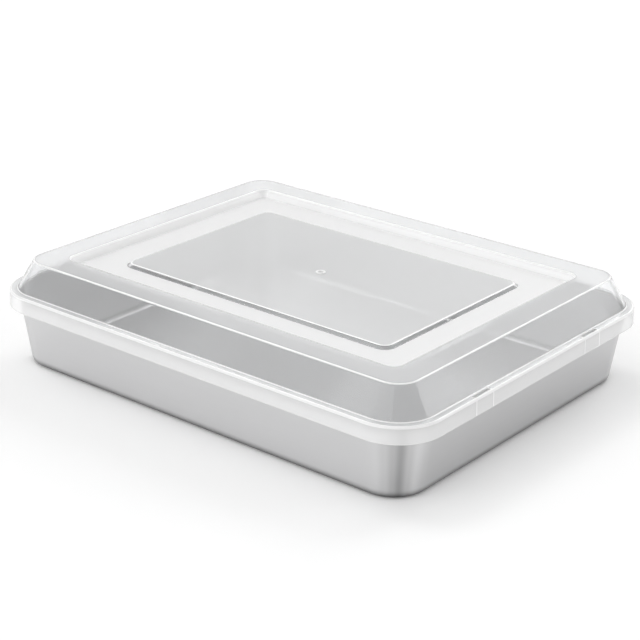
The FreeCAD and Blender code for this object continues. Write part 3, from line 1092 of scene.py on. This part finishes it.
    def raise_catch(self, sweep: Sweep, column: int) -> set[tuple[int, int]]:
        """Raise one catch from the skirt's inner face.

        Args:
            sweep: the lid's sweep.
            column: number of the catch's first column.

        Returns:
            Row and column of the faces that the catch takes the place of.
        """
        top, slope, lead = (
            sweep.row_of(mark) for mark in (Mark.CATCH_TOP, Mark.CATCH_SLOPE, Mark.CATCH_LEAD))
        profile = []
        for row in (top, slope, lead, lead + 1):
            points = sweep.pair(row, column)
            place = sweep.rows[row]
            if row in (slope, lead):
                place = replace(place, offset=self.catch_clearance)
                ends = (sweep.columns[column], sweep.columns[column + 1])
                points = [sweep.skin.point(sweep.plan.place(place, end)) for end in ends]
            profile.append((place, points))
        zones = (Zone.PAINTED_HIGHLIGHT, Zone.FLANGE, Zone.PAINTED_HIGHLIGHT)
        for (start, points), (end, following), zone in zip(profile, profile[1:], zones):
            way = facing(start, end)
            sweep.patch(column, ((start, points, way), (end, following, way)), zone)
        plain = [sweep.pair(row, column) for row in (slope, lead)]
        loop = [points for _, points in profile] + plain[::-1]
        sweep.end_wall(column, loop, into=False)
        return {(row, column) for row in (top, slope, lead)}

    def build(self, handling: bpy.types.NodeTree) -> bpy.types.Object:
        """Sweep the lid, open its slots, raise its catches and dress it.

        Args:
            handling: the group of handling marks.

        Returns:
            The lid.
        """
        plan = Plan()
        half = self.catch_width / 2
        straight = plan.half_width - self.centres
        plan.stations = tuple(
            (side * self.catch_spacing / 2 + shift) / straight
            for side in (-1, 1) for shift in (-half - self.catch_highlight_width, -half, half, half + self.catch_highlight_width))
        rows = rounded(self.underside() + self.upper_side())
        sweep = Sweep(plan, rows + self.gate_ring(rows[-1]))
        left_out, painted_lines = set(), set()
        lowest = next(index for index, row in enumerate(sweep.rows) if row.zone is Zone.SKIRT)
        for column in plan.station_columns():
            left_out |= self.open_slot(sweep, column)
            left_out |= self.raise_catch(sweep, column)
            # The faces beside each slot and catch carry painted highlight lines.
            painted_lines |= {(row, column + side)
                      for row in range(lowest, sweep.row_of(Mark.SLOT_INSIDE_ABOVE)) for side in (-1, 1)}
        sweep.cover(left_out, painted_lines)
        lid = sweep.skin.make("clear_lid")
        materials = {zone: finish.build(f"Clear plastic, {zone.value}", handling)
                     for zone, finish in self.finishes.items()}
        dress_by_zone(lid, sweep.skin.zones, materials)
        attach(lid, "lid")
        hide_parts("lid")
        return lid


@dataclass
class Viewpoint:
    """The photograph's camera.

    Args:
        azimuth: turn about Z from looking along +Y.
        elevation: height above the horizon.
        roll: turn about the line of sight.
        distance: from the aim to the camera, along the line of sight.
        aside: shift of the camera to its right.
        above: shift of the camera upward in its own frame.
        ground: height of the floor in the frame that the camera was measured in.
        focal_pixels: focal length in pixels of the photograph.
    """

    azimuth: float = 38.766
    elevation: float = 22.318
    roll: float = 0.986
    distance: float = 1.09185
    aside: float = 0.000552
    above: float = 0.027567
    ground: float = -0.0014
    focal_pixels: float = 1752.95

    def build(self) -> None:
        """Make the camera and set it as the scene's."""
        turn, rise, roll = (math.radians(v) for v in (self.azimuth, self.elevation, self.roll))
        back = Vector((math.sin(turn) * math.cos(rise), -math.cos(turn) * math.cos(rise), math.sin(rise)))
        level = Vector((math.cos(turn), math.sin(turn), 0.0))
        upright = back.cross(level)
        right = level * math.cos(roll) + upright * math.sin(roll)
        up = upright * math.cos(roll) - level * math.sin(roll)
        data = bpy.data.cameras.new("Camera")
        data.lens = self.focal_pixels / IMAGE_PIXELS * data.sensor_width
        camera = bpy.data.objects.new("Camera", data)
        place = back * self.distance + right * self.aside + up * self.above - Vector((0, 0, self.ground))
        camera.matrix_world = Matrix.Translation(place) @ Matrix((right, up, back)).transposed().to_4x4()
        bpy.context.collection.objects.link(camera)
        bpy.context.scene.camera = camera


@dataclass(frozen=True)
class Lamp:
    """A distant lamp.

    Args:
        strength: light on a face that looks straight at it.
        spread: angle that it fills.
        source: direction that it shines from.
    """

    strength: float
    spread: float
    source: tuple[float, float, float]

    def build(self, name: str) -> None:
        """Make the lamp.

        Args:
            name: its name.
        """
        data = bpy.data.lights.new(name, "SUN")
        data.energy = self.strength
        data.angle = math.radians(self.spread)
        lamp = bpy.data.objects.new(name, data)
        lamp.rotation_mode = "QUATERNION"
        lamp.rotation_quaternion = Vector(self.source).to_track_quat("Z", "Y")
        bpy.context.collection.objects.link(lamp)


def studio_lamps() -> dict[str, Lamp]:
    """Broad lamps from four sides, and two small ones that draw the lid's edges.

    Returns:
        The lamps by name.
    """
    return {
        "Left lamp": Lamp(0.6, 80.0, (-1.0, -0.3, 1.3)),
        "Front lamp": Lamp(0.65, 60.0, (-0.1, -1.0, 0.4)),
        "Rear lamp": Lamp(0.35, 24.0, (-0.18, 0.86, 0.47)),
        "Right lamp": Lamp(0.38, 35.0, (0.61, 0.72, 0.3)),
        "Left edge lamp": Lamp(0.25, 14.0, (-0.58, 0.03, 0.82)),
        "Rear edge lamp": Lamp(0.25, 14.0, (0.04, 0.72, 0.70)),
    }


@dataclass
class Studio:
    """A pale floor under even light.

    Args:
        floor_half: half the floor's side.
        floor_colour: the floor's own colour.
        floor_lift: light added to the floor as the camera, metal and plastic see it.
        sky: strength of the light from all round.
        lamps: the lamps by name.
    """

    floor_half: float = 6.0
    floor_colour: Colour = (0.95, 0.95, 0.95)
    floor_lift: float = 0.08
    sky: float = 0.58
    lamps: dict[str, Lamp] = field(default_factory=studio_lamps)

    def build(self) -> None:
        """Make the floor, the lamps and the surroundings."""
        self.floor()
        for name, lamp in self.lamps.items():
            lamp.build(name)
        self.surroundings()
        bpy.context.scene.view_settings.view_transform = "Standard"

    def floor(self) -> None:
        """Make the floor."""
        corners = [(-1, -1), (1, -1), (1, 1), (-1, 1)]
        mesh = bpy.data.meshes.new("Floor")
        places = [(x * self.floor_half, y * self.floor_half, 0.0) for x, y in corners]
        mesh.from_pydata(places, [], [(0, 1, 2, 3)])
        floor = bpy.data.objects.new("Floor", mesh)
        bpy.context.collection.objects.link(floor)
        material, graph, shader = new_material("Pale floor")
        graph.feed(shader.inputs["Base Color"], self.floor_colour)
        graph.feed(shader.inputs["Roughness"], 1.0)
        graph.feed(shader.inputs["Specular IOR Level"], 0.0)
        graph.feed(shader.inputs["Emission Color"], (1.0, 1.0, 1.0))
        lift = graph.maths("MULTIPLY", graph.any_ray(SEEING_RAYS), self.floor_lift)
        graph.feed(shader.inputs["Emission Strength"], lift)
        dress(floor, material)

    def surroundings(self) -> None:
        """Make the white surroundings, bright to the eye and softer as a light."""
        world = bpy.data.worlds.new("Studio")
        bpy.context.scene.world = world
        world.use_nodes = True
        graph = Graph(world.node_tree)
        background = world.node_tree.nodes["Background"]
        graph.feed(background.inputs["Color"], (1.0, 1.0, 1.0))
        seen = graph.any_ray(SEEING_RAYS)
        graph.feed(background.inputs["Strength"], graph.between(seen, (0.0, self.sky), (1.0, 1.0)))


def main() -> None:
    """Dress the pan and the lid, then build the studio and the camera."""
    logging.basicConfig(level=logging.INFO, format="%(name)s: %(message)s")
    handling = handling_group()
    for part in (Pan(), Lid()):
        made = part.build(handling)
        log.info("%s: %d faces", made.name, len(made.data.polygons))
    Studio().build()
    Viewpoint().build()


if __name__ == "__main__":
    main()
